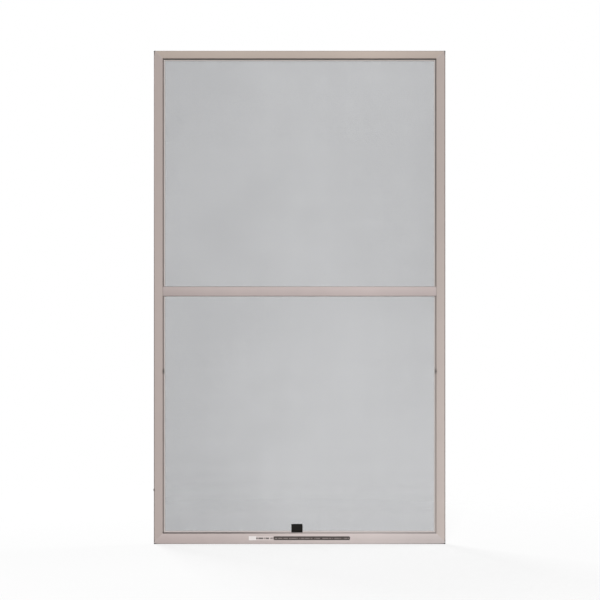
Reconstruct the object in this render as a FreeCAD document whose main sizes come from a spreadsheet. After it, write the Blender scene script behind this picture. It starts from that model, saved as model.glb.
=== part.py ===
import FreeCAD, Part
import math
import os
import re
import Sketcher

# Full-height insect screen for a window, upright, seen face on along +Y.
# X runs across the window, Z runs up, the face of the frame looks towards -Y.
# The origin is the middle of the bottom edge, halfway through the depth.
# Across a bar, "in" is measured from the outer edge of the frame towards the cloth,
# and "deep" is measured from the face of the frame towards its back.

# Driving dimensions in millimetres, apart from the counts of barbs, gaps and cells.
sizes = {
    # The whole frame.
    "frame_width": 708.0,
    "frame_height": 1198.0,
    "frame_depth": 11.0,
    # The rolled strip, the widths of the bars' faces and of the slope from a face to its ledge.
    "wall": 0.6,
    "stile_face": 21.5,
    "top_face": 18.7,
    "bottom_face": 25.5,
    "slope_width": 2.4,
    "face_round": 2.0,
    "back_round": 1.0,
    # The spline channel along the inner edge, open at the back.
    "channel_width": 4.2,
    "channel_depth": 5.0,
    "lip_drop": 1.2,
    "lip_round": 0.5,
    "ledge_round": 0.8,
    # The crossbar and the clips in its ends.
    "crossbar_height": 613.6,
    "crossbar_face": 24.3,
    "crossbar_depth": 9.2,
    "crossbar_round": 2.5,
    "clip_length": 26.0,
    "clip_waist": 3.0,
    "hook_reach": 3.0,
    "slot_length": 14.0,
    "slot_front": 1.8,
    "slot_thickness": 1.8,
    # The corner keys.
    "key_length": 62.0,
    "key_nose": 4.4,
    "key_nose_bevel": 0.6,
    "barb_width": 4.0,
    "barb_depth": 0.8,
    "barb_pitch": 8.0,
    "barb_count": 4,
    # The cloth and the cord that holds it.
    "cloth_thickness": 0.4,
    "cloth_space": 0.3,
    "tuck_depth": 3.2,
    "cloth_border": 9.0,
    "ridge_width": 5.0,
    "ridge_height": 0.25,
    "gap_size": 9.0,
    "gap_columns": 8,
    "gap_rows": 15,
    "cells_per_gap": 4,
    "spline_diameter": 3.1,
    "spline_space": 0.1,
    "spline_sink": 1.2,
    "spline_joint": 0.5,
    "spline_joint_in": 86.0,
    # The pull tab on the bottom rail.
    "tab_width": 27.4,
    "tab_rise": 17.5,
    "tab_thickness": 1.1,
    "tab_film": 0.2,
    "tab_root": 2.4,
    "tab_round": 0.8,
    "tab_place": -6.6,
    # The button on the left edge.
    "button_height": 131.0,
    "button_radius": 3.6,
    "button_rise": 1.2,
    "button_crown": 2.4,
    "button_stem": 2.4,
    "button_barb": 2.9,
    "button_barb_length": 2.2,
    # Clearances: between faces that meet, and around the keys and clips in the hollow bars.
    "lap_gap": 0.1,
    "fit_gap": 0.3,
}

document = FreeCAD.newDocument("WindowScreen")
sheet = document.addObject("Spreadsheet::Sheet", "Sizes")
for row, (alias, value) in enumerate(sizes.items(), start=1):
    sheet.set(f"A{row}", alias)
    sheet.set(f"B{row}", str(value))
    sheet.setAlias(f"B{row}", alias)
document.recompute()


def bound(text):
    """Turn the size names in an expression into references to the sheet."""

    def refer(match):
        word = match.group()
        return "Sizes." + word if word in sizes else word

    return re.sub(r"[a-z_]+", refer, text)


def number(text):
    """The present value of an expression of sizes, in millimetres."""
    return float(sheet.evalExpression(bound(text)))


# Derived widths and depths, each written once and used by every piece that meets there.
hem = "(2 * wall)"
cut_past = "(wall / 2)"
key_skin = "(wall + fit_gap)"
channel = f"(channel_width + {hem})"
ledge_deep = f"(frame_depth - channel_depth - {hem})"
lip_deep = "(frame_depth - lip_drop)"
stile_span = f"(stile_face + {channel})"
top_span = f"(top_face + {channel})"
bottom_span = f"(bottom_face + {channel})"
crossbar_low = "(crossbar_height - crossbar_face / 2)"
crossbar_high = "(crossbar_height + crossbar_face / 2)"
cloth_deep = f"({lip_deep} + cloth_space)"
tuck_in = f"({hem} + cloth_space + cloth_thickness)"

left = -1
right = 1
along_x = FreeCAD.Vector(1, 0, 0)
along_z = FreeCAD.Vector(0, 0, 1)

# Places this close together in millimetres, and unit directions this close to parallel, are the same.
tolerance = 0.01


def across(side, inward):
    """X of a line a given distance in from the left or right edge of the frame."""
    return f"{side} * (frame_width / 2 - {inward})"


def above(inward):
    """Z of a line a given distance in from the bottom edge."""
    return f"{inward}"


def below(inward):
    """Z of a line a given distance in from the top edge."""
    return f"frame_height - {inward}"


def depth(deep):
    """Y of a plane a given distance behind the face."""
    return f"{deep} - frame_depth / 2"


def off_slope(deep):
    """How far in a piece starts that butts on a stile's slope at a given depth."""
    return f"(stile_face + lap_gap + slope_width * {deep} / {ledge_deep})"


def new_body(label):
    body = document.addObject("PartDesign::Body", label)
    body.Label = label
    return body


def origin_part(body, role):
    return next(item for item in body.Origin.OriginFeatures if item.Role == role)


def new_sketch(body, name, plane, lift="0", slide="0"):
    """A sketch on an origin plane, lifted off it and slid up it by two expressions."""
    sketch = body.newObject("Sketcher::SketchObject", name)
    sketch.AttachmentSupport = [(origin_part(body, plane), "")]
    sketch.MapMode = "FlatFace"
    sketch.setExpression("AttachmentOffset.Base.z", bound(lift))
    sketch.setExpression("AttachmentOffset.Base.y", bound(slide))
    return sketch


def fix_point(sketch, geometry, end, place):
    """Tie one end of a line to two expressions measured from the sketch's origin."""
    for kind, text in zip(("DistanceX", "DistanceY"), place):
        index = sketch.addConstraint(Sketcher.Constraint(kind, -1, 1, geometry, end, number(text)))
        sketch.setExpression(f"Constraints[{index}]", bound(text))


def draw_lines(sketch, corners):
    """A closed outline of straight lines through the given corners."""
    points = [FreeCAD.Vector(number(x), number(y), 0) for x, y in corners]
    first = sketch.GeometryCount
    count = len(points)
    for index in range(count):
        sketch.addGeometry(Part.LineSegment(points[index], points[(index + 1) % count]), False)
    for index in range(count):
        following = first + (index + 1) % count
        sketch.addConstraint(Sketcher.Constraint("Coincident", first + index, 2, following, 1))
        fix_point(sketch, first + index, 1, corners[index])


def draw_circle(sketch, centre, radius):
    middle = FreeCAD.Vector(number(centre[0]), number(centre[1]), 0)
    circle = Part.Circle(middle, FreeCAD.Vector(0, 0, 1), number(radius))
    geometry = sketch.addGeometry(circle, False)
    fix_point(sketch, geometry, 3, centre)
    index = sketch.addConstraint(Sketcher.Constraint("Radius", geometry, number(radius)))
    sketch.setExpression(f"Constraints[{index}]", bound(radius))


def add_feature(body, kind, name, sketch, length=None, symmetric=False, reverse=False):
    """A pad or a pocket from a sketch; with no length it goes right through."""
    feature = body.newObject(kind, name)
    feature.Profile = sketch
    if length is None:
        feature.Type = "ThroughAll"
    else:
        feature.setExpression("Length", bound(length))
    if symmetric:
        feature.SideType = "Symmetric"
    feature.Reversed = reverse
    sketch.Visibility = False
    document.recompute()
    return feature


def pad(body, name, sketch, length, **options):
    return add_feature(body, "PartDesign::Pad", name, sketch, length, **options)


def pocket(body, name, sketch, length=None, **options):
    return add_feature(body, "PartDesign::Pocket", name, sketch, length, **options)


def near(value, text):
    return abs(value - number(text)) < tolerance


def parallel(direction, axis):
    return direction.cross(axis).Length < tolerance


def edges_along(axis, deep):
    """A test for the edges that run along an axis at a given distance deep."""
    place = depth(deep)
    return lambda middle, run: parallel(run, axis) and near(middle.y, place)


def dress_edges(body, kind, name, size, amount, chosen):
    """Dress the straight edges of the body's tip whose middle and direction are chosen."""
    base = body.Tip
    names = []
    for index, edge in enumerate(base.Shape.Edges, start=1):
        if len(edge.Vertexes) == 2:
            run = edge.Vertexes[1].Point - edge.Vertexes[0].Point
            if chosen(edge.CenterOfMass, run.normalize()):
                names.append(f"Edge{index}")
    feature = body.newObject(kind, name)
    feature.Base = (base, names)
    feature.setExpression(size, bound(amount))
    document.recompute()


def round_edges(body, name, radius, chosen):
    dress_edges(body, "PartDesign::Fillet", name, "Radius", radius, chosen)


def bevel_edges(body, name, size, chosen):
    dress_edges(body, "PartDesign::Chamfer", name, "Size", size, chosen)


def hollow(body, axis):
    """Leave only the rolled wall of a bar that runs along an axis, open at both ends."""
    base = body.Tip
    ends = [
        f"Face{index}"
        for index, face in enumerate(base.Shape.Faces, start=1)
        if parallel(face.normalAt(0, 0), axis)
    ]
    feature = body.newObject("PartDesign::Thickness", "RolledWall")
    feature.Base = (base, ends)
    feature.Reversed = True
    feature.setExpression("Value", bound("wall"))
    document.recompute()


def pattern(body, name, original, steps, reverse=False):
    """Repeat a feature along one or two axes, with its whole extent and count for each."""
    feature = body.newObject("PartDesign::LinearPattern", name)
    feature.Originals = [original]
    feature.Reversed = reverse
    for suffix, (axis, extent, occurrences) in zip(("", "2"), steps):
        setattr(feature, "Direction" + suffix, (origin_part(body, axis), [""]))
        feature.setExpression("Length" + suffix, bound(extent))
        feature.setExpression("Occurrences" + suffix, bound(occurrences))
    body.Tip = feature
    document.recompute()


# The four frame bars.


def roll_bar(label, face, plane, axis, place, length, symmetric, at_inner_edge):
    """Roll one bar: a hollow box whose face slopes to the ledge of a hemmed channel.

    place turns a distance in and a distance deep into the two axes of the section's sketch,
    and at_inner_edge says whether a point lies on the bar's inner edge.
    """
    body = new_body(label)

    def extrude(name, corners):
        sketch = new_sketch(body, name + "Section", plane)
        draw_lines(sketch, [place(inward, deep) for inward, deep in corners])
        pad(body, name, sketch, length, symmetric=symmetric)

    extrude("Box", [
        ("0", "0"),
        (face, "0"),
        (f"({face} + slope_width)", ledge_deep),
        (face, ledge_deep),
        (face, "frame_depth"),
        ("0", "frame_depth"),
    ])
    round_edges(body, "FaceRounds", "face_round", edges_along(axis, "0"))
    round_edges(body, "BackRounds", "back_round", edges_along(axis, "frame_depth"))
    hollow(body, axis)

    inner_edge = f"({face} + {channel})"
    lip_wall = f"({face} + channel_width)"
    floor = f"({ledge_deep} + {hem})"
    extrude("Channel", [
        (face, ledge_deep),
        (inner_edge, ledge_deep),
        (inner_edge, lip_deep),
        (lip_wall, lip_deep),
        (lip_wall, floor),
        (face, floor),
    ])
    round_edges(body, "LipRounds", "lip_round", edges_along(axis, lip_deep))
    on_ledge = edges_along(axis, ledge_deep)
    round_edges(body, "LedgeRound", "ledge_round",
                lambda middle, run: on_ledge(middle, run) and at_inner_edge(middle))
    return body


def cut_corner(body, side, rise, rail_span, keeps_stile):
    """Cut one mitre, and the tip that makes room for the corner key's nose.

    The mitre runs at 45 degrees through the inner corner, so that channels of bars with
    different faces still meet. A piece is measured in from both outer edges of the corner.
    """
    offset = f"({stile_span} - {rail_span})"
    reach = f"({stile_span} + {rail_span})"
    start = (f"({offset} - {reach})", f"(0 - {reach})")
    finish = (f"({stile_span} + {reach})", f"({rail_span} + {reach})")
    third = (finish[0], start[1]) if keeps_stile else (start[0], finish[1])
    tip = "(key_nose + lap_gap)"
    far = f"(0 - {tip})"
    cuts = {
        "Mitre": [start, finish, third],
        "Tip": [(f"(2 * {tip})", far), (far, f"(2 * {tip})"), (far, far)],
    }
    for name, corners in cuts.items():
        sketch = new_sketch(body, name + "Sketch", "XZ_Plane")
        draw_lines(sketch, [(across(side, x), rise(z)) for x, z in corners])
        pocket(body, name, sketch, symmetric=True)


def make_rail(label, face, span, rise):
    body = roll_bar(label, face, "YZ_Plane", along_x,
                    lambda inward, deep: (depth(deep), rise(inward)),
                    "frame_width", True,
                    lambda middle: near(middle.z, rise(span)))
    for side in (left, right):
        cut_corner(body, side, rise, span, keeps_stile=False)


def make_stile(label, side):
    """One upright, with the slot that takes the crossbar clip's hook."""
    body = roll_bar(label, "stile_face", "XY_Plane", along_z,
                    lambda inward, deep: (across(side, inward), depth(deep)),
                    "frame_height", False,
                    lambda middle: near(middle.x, across(side, stile_span)))
    for rise, span in ((above, bottom_span), (below, top_span)):
        cut_corner(body, side, rise, span, keeps_stile=True)
    sketch = new_sketch(body, "HookSlotSketch", "XY_Plane", lift="crossbar_height")
    inner = f"(stile_face - wall - {cut_past})"
    outer = f"(stile_face + slope_width + {cut_past})"
    slot_back = "(slot_front + slot_thickness)"
    draw_lines(sketch, [
        (across(side, inner), depth("slot_front")),
        (across(side, outer), depth("slot_front")),
        (across(side, outer), depth(slot_back)),
        (across(side, inner), depth(slot_back)),
    ])
    pocket(body, "HookSlot", sketch, "slot_length", symmetric=True)
    return body


def drill_button_hole(body):
    """The round hole in the left stile's outer wall."""
    sketch = new_sketch(body, "ButtonHoleSketch", "YZ_Plane", lift=across(left, f"(wall + {cut_past})"))
    draw_circle(sketch, ("0", "button_height"), "button_stem + lap_gap")
    pocket(body, "ButtonHole", sketch, f"wall + 2 * {cut_past}")


make_rail("top_rail", "top_face", top_span, below)
make_rail("bottom_rail", "bottom_face", bottom_span, above)
left_stile = make_stile("left_stile", left)
drill_button_hole(left_stile)
make_stile("right_stile", right)


# The corner keys: an L in the two hollow bars, barbed along its legs, with a nose at the tip.


def make_corner_key(label, side, rise, rail_face):
    body = new_body(label)
    in_stile = f"(stile_face - {key_skin})"
    in_rail = f"({rail_face} - {key_skin})"

    def outline(corners):
        return [(across(side, x), rise(z)) for x, z in corners]

    sketch = new_sketch(body, "LegSketch", "XZ_Plane")
    draw_lines(sketch, outline([
        (key_skin, key_skin),
        ("key_length", key_skin),
        ("key_length", in_rail),
        (in_stile, in_rail),
        (in_stile, "key_length"),
        (key_skin, "key_length"),
    ]))
    pad(body, "Legs", sketch, f"frame_depth - 2 * {key_skin}", symmetric=True)
    leg_front = depth(key_skin)
    bevel_edges(body, "LegBevels", "face_round - wall - fit_gap",
                lambda middle, run: near(middle.y, leg_front))

    # The grooves between the barbs, cut across the front of each leg.
    start = "(key_length - barb_pitch * barb_count)"
    finish = f"({start} + barb_width)"
    rows = (
        ("RailBarb", "X_Axis", side == right, (start, finish), ("0", rail_face)),
        ("StileBarb", "Z_Axis", rise is below, ("0", "stile_face"), (start, finish)),
    )
    for name, axis, reverse, (x_start, x_end), (z_start, z_end) in rows:
        sketch = new_sketch(body, name + "Sketch", "XZ_Plane", lift=f"frame_depth / 2 - {key_skin}")
        draw_lines(sketch, outline([(x_start, z_start), (x_end, z_start), (x_end, z_end), (x_start, z_end)]))
        groove = pocket(body, name, sketch, "barb_depth")
        step = (axis, "barb_pitch * (barb_count - 1)", "barb_count")
        pattern(body, name + "Row", groove, [step], reverse=reverse)

    sketch = new_sketch(body, "NoseSketch", "XZ_Plane")
    draw_lines(sketch, outline([("0", "0"), ("key_nose", "0"), ("0", "key_nose")]))
    pad(body, "Nose", sketch, "frame_depth", symmetric=True)
    corner_x = across(side, "0")
    corner_z = rise("0")

    def is_nose_edge(middle, run):
        on_side = near(middle.x, corner_x)
        on_end = near(middle.z, corner_z)
        lies_flat = parallel(run, along_x) or parallel(run, along_z)
        return (on_side and on_end) or ((on_side or on_end) and lies_flat)

    bevel_edges(body, "NoseBevels", "key_nose_bevel", is_nose_edge)


make_corner_key("top_left_corner_key", left, below, "top_face")
make_corner_key("top_right_corner_key", right, below, "top_face")
make_corner_key("bottom_left_corner_key", left, above, "bottom_face")
make_corner_key("bottom_right_corner_key", right, above, "bottom_face")


# The crossbar: a hollow bar whose ends are coped to the stiles' slopes and lap over their ledges.


def make_crossbar():
    body = new_body("crossbar")
    sketch = new_sketch(body, "BoxSection", "YZ_Plane")
    front = depth("0")
    back = depth("crossbar_depth")
    draw_lines(sketch, [(front, crossbar_low), (back, crossbar_low),
                        (back, crossbar_high), (front, crossbar_high)])
    pad(body, "Box", sketch, "frame_width - 2 * (stile_face + lap_gap)", symmetric=True)
    round_edges(body, "FaceRounds", "crossbar_round", edges_along(along_x, "0"))
    round_edges(body, "BackRounds", "back_round", edges_along(along_x, "crossbar_depth"))
    hollow(body, along_x)
    lap = f"({ledge_deep} - lap_gap)"
    shoulder = f"({stile_span} + lap_gap)"
    for side in (left, right):
        sketch = new_sketch(body, "CopeSketch", "XY_Plane")
        draw_lines(sketch, [(across(side, x), depth(y)) for x, y in (
            (shoulder, lap),
            (off_slope(lap), lap),
            (off_slope("0"), "0"),
            ("(stile_face - wall)", "0"),
            ("(stile_face - wall)", "frame_depth"),
            (shoulder, "frame_depth"),
        )])
        pocket(body, "Cope", sketch, symmetric=True)


def make_crossbar_clip(label, side):
    """A stepped plug: deep inside the crossbar, shallow over the ledge, hooked into the slot."""
    body = new_body(label)
    plug_back = f"(crossbar_depth - {key_skin})"
    lap = f"({ledge_deep} - lap_gap)"
    shoulder = f"({stile_span} + lap_gap)"
    plug_end = f"({stile_span} + clip_length)"

    sketch = new_sketch(body, "PlugSketch", "XY_Plane", lift="crossbar_height")
    draw_lines(sketch, [(across(side, x), depth(y)) for x, y in (
        (off_slope(key_skin), key_skin),
        (plug_end, key_skin),
        (plug_end, plug_back),
        (shoulder, plug_back),
        (shoulder, lap),
        (off_slope(lap), lap),
    )])
    pad(body, "Plug", sketch, f"crossbar_face - 2 * {key_skin}", symmetric=True)
    round_edges(body, "PlugRounds", "crossbar_round - wall - fit_gap", edges_along(along_x, key_skin))

    sketch = new_sketch(body, "WaistSketch", "XZ_Plane")
    waist_start = across(side, f"({shoulder} + clip_waist)")
    waist_end = across(side, f"({plug_end} - 2 * clip_waist)")
    for edge, step in ((crossbar_low, "+"), (crossbar_high, "-")):
        waist_edge = f"{edge} {step} ({key_skin} + clip_waist)"
        draw_lines(sketch, [(waist_start, edge), (waist_end, edge),
                            (waist_end, waist_edge), (waist_start, waist_edge)])
    pocket(body, "Waist", sketch, symmetric=True)

    sketch = new_sketch(body, "HookSketch", "XY_Plane", lift="crossbar_height")
    tip = "(stile_face - wall - hook_reach)"
    hook_front = "(slot_front + lap_gap)"
    hook_back = "(slot_front + slot_thickness - lap_gap)"
    root = off_slope(ledge_deep)
    draw_lines(sketch, [(across(side, x), depth(y)) for x, y in (
        (tip, hook_front),
        (root, hook_front),
        (root, hook_back),
        (tip, hook_back),
    )])
    pad(body, "Hook", sketch, "slot_length - 2 * lap_gap", symmetric=True)


make_crossbar()
make_crossbar_clip("left_crossbar_clip", left)
make_crossbar_clip("right_crossbar_clip", right)


# The cloth: one sheet with its rim turned into the channel, open between its strands.


def make_cloth():
    body = new_body("insect_cloth")

    def frame_outline(inward):
        """A rectangle that lies the given distance out from the frame's inner edge."""
        side_in = f"({stile_span} - {inward})"
        low = above(f"({bottom_span} - {inward})")
        high = below(f"({top_span} - {inward})")
        return [(across(left, side_in), low), (across(right, side_in), low),
                (across(right, side_in), high), (across(left, side_in), high)]

    sketch = new_sketch(body, "SheetSketch", "XZ_Plane", lift=f"0 - ({depth(cloth_deep)})")
    draw_lines(sketch, frame_outline(tuck_in))
    pad(body, "Sheet", sketch, "cloth_thickness", reverse=True)
    sketch = new_sketch(body, "TuckSketch", "XZ_Plane", lift=f"0 - ({depth(cloth_deep)})")
    draw_lines(sketch, frame_outline(tuck_in))
    draw_lines(sketch, frame_outline(f"({hem} + cloth_space)"))
    pad(body, "Tuck", sketch, "tuck_depth")

    # The weave: warp ridges in front, weft ridges behind, and a gap in every few cells,
    # from the first cell of a row or column to its last.
    first_x = across(left, f"({stile_span} + cloth_border)")
    first_z = above(f"({bottom_span} + cloth_border)")
    end_x = across(right, f"({stile_span} + cloth_border)")
    end_z = below(f"({top_span} + cloth_border)")
    cells_x = "((gap_columns - 1) * cells_per_gap + 1)"
    cells_z = "((gap_rows - 1) * cells_per_gap + 1)"
    cell_x = f"((frame_width - 2 * ({stile_span} + cloth_border)) / {cells_x})"
    cell_z = f"((frame_height - {bottom_span} - {top_span} - 2 * cloth_border) / {cells_z})"
    middle_x = f"({first_x} + {cell_x} / 2)"
    middle_z = f"({first_z} + {cell_z} / 2)"
    low = (f"{middle_x} - gap_size / 2", f"{middle_z} - gap_size / 2")
    high = (f"{middle_x} + gap_size / 2", f"{middle_z} + gap_size / 2")
    sketch = new_sketch(body, "GapSketch", "XZ_Plane")
    draw_lines(sketch, [low, (high[0], low[1]), high, (low[0], high[1])])
    gap = pocket(body, "Gap", sketch, symmetric=True)
    columns = ("X_Axis", f"{cell_x} * cells_per_gap * (gap_columns - 1)", "gap_columns")
    rows = ("Z_Axis", f"{cell_z} * cells_per_gap * (gap_rows - 1)", "gap_rows")
    pattern(body, "Gaps", gap, [columns, rows])

    half = "ridge_width / 2"
    sketch = new_sketch(body, "WarpSketch", "XZ_Plane", lift=f"0 - ({depth(cloth_deep)})")
    draw_lines(sketch, [(f"{first_x} - {half}", first_z), (f"{first_x} + {half}", first_z),
                        (f"{first_x} + {half}", end_z), (f"{first_x} - {half}", end_z)])
    warp = pad(body, "Warp", sketch, "ridge_height")
    pattern(body, "Warps", warp, [("X_Axis", f"{cell_x} * {cells_x}", f"{cells_x} + 1")])
    sketch = new_sketch(body, "WeftSketch", "XZ_Plane", lift=f"0 - ({depth(cloth_deep)}) - cloth_thickness")
    draw_lines(sketch, [(first_x, f"{first_z} - {half}"), (end_x, f"{first_z} - {half}"),
                        (end_x, f"{first_z} + {half}"), (first_x, f"{first_z} + {half}")])
    weft = pad(body, "Weft", sketch, "ridge_height", reverse=True)
    pattern(body, "Wefts", weft, [("Z_Axis", f"{cell_z} * {cells_z}", f"{cells_z} + 1")])


make_cloth()


# The spline: one cord pressed into the channel, with its two ends butted on the bottom run.


def make_spline():
    body = new_body("spline")
    radius = "(spline_diameter / 2)"
    out = f"({tuck_in} + spline_space + {radius})"
    bend = f"({radius} + 2 * spline_space)"
    side_in = f"({stile_span} - {out})"
    low = above(f"({bottom_span} - {out})")
    high = below(f"({top_span} - {out})")
    centre_deep = f"(frame_depth - spline_sink - {radius})"
    joint = across(left, "spline_joint_in")
    x_left = across(left, side_in)
    x_right = across(right, side_in)
    runs = [
        ((f"{joint} + spline_joint / 2", low), (f"{x_right} - {bend}", low)),
        ((x_right, f"{low} + {bend}"), (x_right, f"{high} - {bend}")),
        ((f"{x_right} - {bend}", high), (f"{x_left} + {bend}", high)),
        ((x_left, f"{high} - {bend}"), (x_left, f"{low} + {bend}")),
        ((f"{x_left} + {bend}", low), (f"{joint} - spline_joint / 2", low)),
    ]
    spine = new_sketch(body, "Route", "XZ_Plane", lift=f"0 - ({depth(centre_deep)})")
    quarter = math.pi / 2
    turns = [
        (f"{x_right} - {bend}", f"{low} + {bend}", -quarter),
        (f"{x_right} - {bend}", f"{high} - {bend}", 0),
        (f"{x_left} + {bend}", f"{high} - {bend}", quarter),
        (f"{x_left} + {bend}", f"{low} + {bend}", 2 * quarter),
    ]
    lines = []
    for start, finish in runs:
        points = [FreeCAD.Vector(number(x), number(z), 0) for x, z in (start, finish)]
        lines.append(spine.addGeometry(Part.LineSegment(*points), False))
        fix_point(spine, lines[-1], 1, start)
        fix_point(spine, lines[-1], 2, finish)
    for index, (x, z, start_angle) in enumerate(turns):
        circle = Part.Circle(FreeCAD.Vector(number(x), number(z), 0), along_z, number(bend))
        arc = spine.addGeometry(Part.ArcOfCircle(circle, start_angle, start_angle + quarter), False)
        spine.addConstraint(Sketcher.Constraint("Coincident", lines[index], 2, arc, 1))
        spine.addConstraint(Sketcher.Constraint("Coincident", arc, 2, lines[index + 1], 1))
        constraint = spine.addConstraint(Sketcher.Constraint("Radius", arc, number(bend)))
        spine.setExpression(f"Constraints[{constraint}]", bound(bend))
    profile = new_sketch(body, "Round", "YZ_Plane", lift=f"{joint} + spline_joint / 2")
    draw_circle(profile, (depth(centre_deep), low), radius)
    document.recompute()
    cord = body.newObject("PartDesign::AdditivePipe", "Cord")
    cord.Profile = profile
    cord.Spine = (spine, [])
    document.recompute()
    length = spine.Shape.Length
    section = number(f"{radius} * {radius} * pi")
    print("spline", round(length, 1), "long, bends of", round(number(bend), 2),
          "volume over section", round(cord.Shape.Volume / section, 1))


make_spline()


# The pull tab: a plate on the ledge, a web back along the lip, and a film over it into the channel.


def make_pull_tab():
    body = new_body("pull_tab")
    plate_back = f"({ledge_deep} - lap_gap)"
    plate_front = f"({plate_back} - tab_thickness)"
    space = "((cloth_space - tab_film) / 2)"
    film_front = f"({lip_deep} + {space})"
    film_back = f"({film_front} + tab_film)"
    plate_low = "(bottom_face + slope_width + lap_gap)"
    web_low = f"({bottom_span} + lap_gap)"
    web_high = f"({web_low} + tab_thickness)"
    root_high = f"({bottom_span} - {hem} - {space})"
    root_low = f"({root_high} - tab_film)"
    outline = [
        (plate_front, plate_low),
        (plate_back, plate_low),
        (plate_back, web_low),
        (film_front, web_low),
        (film_front, root_high),
        (f"{film_front} - tab_root", root_high),
        (f"{film_front} - tab_root", root_low),
        (film_back, root_low),
        (film_back, web_high),
        (plate_back, web_high),
        (plate_back, f"{bottom_span} + tab_rise"),
        (plate_front, f"{bottom_span} + tab_rise"),
    ]
    sketch = new_sketch(body, "HookSection", "YZ_Plane", lift="tab_place")
    draw_lines(sketch, [(depth(deep), high) for deep, high in outline])
    pad(body, "Tab", sketch, "tab_width", symmetric=True)
    top = f"{bottom_span} + tab_rise"
    through = FreeCAD.Vector(0, 1, 0)
    round_edges(body, "TabCorners", "tab_round",
                lambda middle, run: parallel(run, through) and near(middle.z, top))


make_pull_tab()


# The button: a low crowned head on the left edge, its stem snapped through the outer wall.


def make_edge_button():
    body = new_body("edge_button")
    sketch = new_sketch(body, "TurnedProfile", "XZ_Plane", slide="button_height")
    inner = "(wall + lap_gap)"
    draw_lines(sketch, [(across(left, x), z) for x, z in (
        ("(0 - button_rise)", "0"),
        ("(0 - button_rise)", "button_crown"),
        ("0", "button_radius"),
        ("0", "button_stem"),
        (inner, "button_stem"),
        (inner, "button_barb"),
        (f"({inner} + button_barb_length)", "button_stem - lap_gap"),
        (f"({inner} + button_barb_length)", "0"),
    )])
    turned = body.newObject("PartDesign::Revolution", "Turned")
    turned.Profile = sketch
    turned.ReferenceAxis = (sketch, ["H_Axis"])
    document.recompute()


make_edge_button()


# Check every object, then write each piece.

faults = [
    item.Name
    for item in document.Objects
    if "Invalid" in item.State or "Error" in item.State
]
pieces = [item for item in document.Objects if item.TypeId == "PartDesign::Body"]
for piece in pieces:
    if piece.Shape.isNull() or not piece.Shape.isValid() or len(piece.Shape.Solids) != 1:
        faults.append(piece.Label)
if faults:
    raise RuntimeError("not built: " + ", ".join(faults))

os.makedirs("parts", exist_ok=True)
for piece in pieces:
    piece.Shape.exportStep(os.path.join("parts", piece.Label + ".step"))
    print(piece.Label, "volume", round(piece.Shape.Volume, 1))
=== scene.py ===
import bmesh
import bpy
import math
import random
from mathutils import Matrix, Vector


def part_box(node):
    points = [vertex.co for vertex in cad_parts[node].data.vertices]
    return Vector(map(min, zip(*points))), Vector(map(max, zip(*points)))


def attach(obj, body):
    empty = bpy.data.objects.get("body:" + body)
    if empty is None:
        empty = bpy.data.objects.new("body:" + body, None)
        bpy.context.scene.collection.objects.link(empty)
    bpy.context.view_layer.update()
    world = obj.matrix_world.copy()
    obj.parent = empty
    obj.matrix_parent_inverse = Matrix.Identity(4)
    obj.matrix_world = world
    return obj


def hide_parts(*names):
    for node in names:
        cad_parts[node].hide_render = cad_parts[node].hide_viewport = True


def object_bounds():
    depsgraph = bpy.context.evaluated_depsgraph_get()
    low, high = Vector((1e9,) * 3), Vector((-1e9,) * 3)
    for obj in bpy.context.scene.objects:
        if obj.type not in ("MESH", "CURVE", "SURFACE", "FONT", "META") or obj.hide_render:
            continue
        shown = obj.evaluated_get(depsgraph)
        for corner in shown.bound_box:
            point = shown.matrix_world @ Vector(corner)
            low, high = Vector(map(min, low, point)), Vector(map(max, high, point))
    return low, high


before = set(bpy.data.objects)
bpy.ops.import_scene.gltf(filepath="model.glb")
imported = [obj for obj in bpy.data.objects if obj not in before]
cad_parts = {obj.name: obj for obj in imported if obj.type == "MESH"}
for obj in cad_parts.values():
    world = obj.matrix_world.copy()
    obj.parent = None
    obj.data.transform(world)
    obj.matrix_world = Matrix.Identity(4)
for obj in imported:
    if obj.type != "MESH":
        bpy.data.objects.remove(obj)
cadLow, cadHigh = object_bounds()

mm = 0.001
tiny = 0.01 * mm                             # nearer than this is the same place

# where the bars of the frame lie
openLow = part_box("left_stile")[1].x          # inner edge of the left bar
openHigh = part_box("right_stile")[0].x
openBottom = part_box("bottom_rail")[1].z
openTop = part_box("top_rail")[0].z
sideX = cadHigh.x                            # outer edge of the right bar; the left one's is at -sideX
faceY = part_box("bottom_rail")[0].y           # the face that looks at the room
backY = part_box("bottom_rail")[1].y


class Value:
    # a socket that adds Math nodes when it stands in an expression

    def __init__(self, finish, socket):
        self.finish = finish
        self.socket = socket

    def math(self, operation, *values):
        return self.finish.node("ShaderNodeMath", {"operation": operation}, dict(enumerate(values)))

    def __add__(self, other):
        return self.math("ADD", self, other)

    def __radd__(self, other):
        return self.math("ADD", other, self)

    def __sub__(self, other):
        return self.math("SUBTRACT", self, other)

    def __rsub__(self, other):
        return self.math("SUBTRACT", other, self)

    def __mul__(self, other):
        return self.math("MULTIPLY", self, other)

    def __rmul__(self, other):
        return self.math("MULTIPLY", other, self)

    def __truediv__(self, other):
        return self.math("DIVIDE", self, other)

    def __rtruediv__(self, other):
        return self.math("DIVIDE", other, self)

    def __abs__(self):
        return self.math("ABSOLUTE", self)

    def larger(self, other):
        return self.math("MAXIMUM", self, other)

    def step(self, low, high):
        # 0 below low, 1 above high and smooth between them; the other way round where low is the higher
        return self.finish.node(
            "ShaderNodeMapRange",
            {"interpolation_type": "SMOOTHSTEP", "clamp": True},
            {"Value": self, "From Min": low, "From Max": high},
        )


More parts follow.
